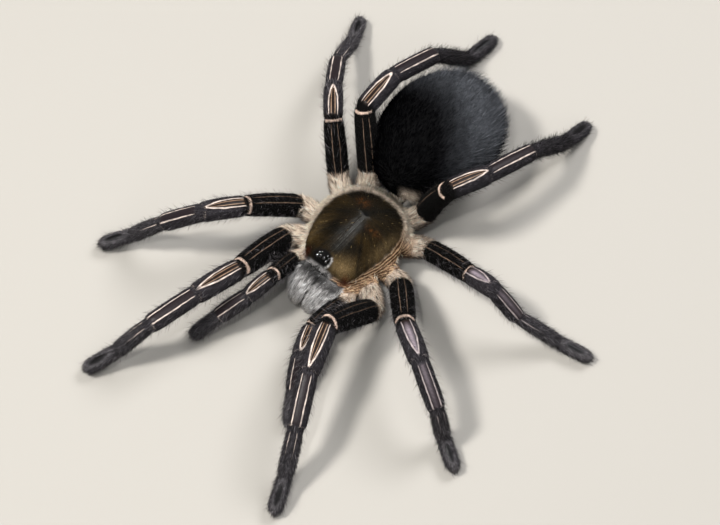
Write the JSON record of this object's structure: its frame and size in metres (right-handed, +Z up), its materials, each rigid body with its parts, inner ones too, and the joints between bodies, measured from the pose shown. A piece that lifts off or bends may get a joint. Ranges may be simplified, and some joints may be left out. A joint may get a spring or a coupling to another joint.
{
  "type": "tarantula",
  "caption": "Life-size still model of a stripe-kneed tarantula standing on a level floor, with cream stripes on black legs, a golden-brown back and a large black abdomen.",
  "frame": {"origin": "middle of the footprint's bounding box, on the floor the feet stand on", "axes": "+Z up, the spider faces -Y, and +X is its own left side"},
  "size_m": [0.0888, 0.1082, 0.0239],
  "materials": {
    "black_coat": "black velvet hair with cream stripes on the legs",
    "grey_coat": "short grey hair on the feet",
    "olive_coat": "golden-brown velvet hair combed outwards",
    "silver_coat": "long silver-grey combed hair",
    "pale_coat": "pale pinkish-cream hair",
    "eyes": "glossy black",
    "horn": "polished black horn"
  },
  "bodies": {
    "root": {"carapace": "olive_coat", "eye_tubercle": "eyes", "sternum": "pale_coat", "abdomen": "black_coat", "pedicel": "pale_coat", "chelicera_left": "silver_coat", "fang_left": "horn", "spinneret_left": "black_coat", "chelicera_right": "silver_coat", "fang_right": "horn", "spinneret_right": "black_coat", "leg_1_left_femur": "black_coat", "leg_1_left_patella": "black_coat", "leg_1_left_tibia": "black_coat", "leg_1_left_metatarsus": "grey_coat", "leg_1_left_tarsus": "grey_coat", "leg_2_left_femur": "black_coat", "leg_2_left_patella": "black_coat", "leg_2_left_tibia": "black_coat", "leg_2_left_metatarsus": "grey_coat", "leg_2_left_tarsus": "grey_coat", "leg_3_left_femur": "black_coat", "leg_3_left_patella": "black_coat", "leg_3_left_tibia": "black_coat", "leg_3_left_metatarsus": "grey_coat", "leg_3_left_tarsus": "grey_coat", "leg_4_left_femur": "black_coat", "leg_4_left_patella": "black_coat", "leg_4_left_tibia": "black_coat", "leg_4_left_metatarsus": "grey_coat", "leg_4_left_tarsus": "grey_coat", "palp_left_femur": "black_coat", "palp_left_patella": "black_coat", "palp_left_tibia": "black_coat", "palp_left_tarsus": "grey_coat", "leg_1_right_femur": "black_coat", "leg_1_right_patella": "black_coat", "leg_1_right_tibia": "black_coat", "leg_1_right_metatarsus": "grey_coat", "leg_1_right_tarsus": "grey_coat", "leg_2_right_femur": "black_coat", "leg_2_right_patella": "black_coat", "leg_2_right_tibia": "black_coat", "leg_2_right_metatarsus": "grey_coat", "leg_2_right_tarsus": "grey_coat", "leg_3_right_femur": "black_coat", "leg_3_right_patella": "black_coat", "leg_3_right_tibia": "black_coat", "leg_3_right_metatarsus": "grey_coat", "leg_3_right_tarsus": "grey_coat", "leg_4_right_femur": "black_coat", "leg_4_right_patella": "black_coat", "leg_4_right_tibia": "black_coat", "leg_4_right_metatarsus": "grey_coat", "leg_4_right_tarsus": "grey_coat", "palp_right_femur": "black_coat", "palp_right_patella": "black_coat", "palp_right_tibia": "black_coat", "palp_right_tarsus": "grey_coat"}
  },
  "joints": []
}
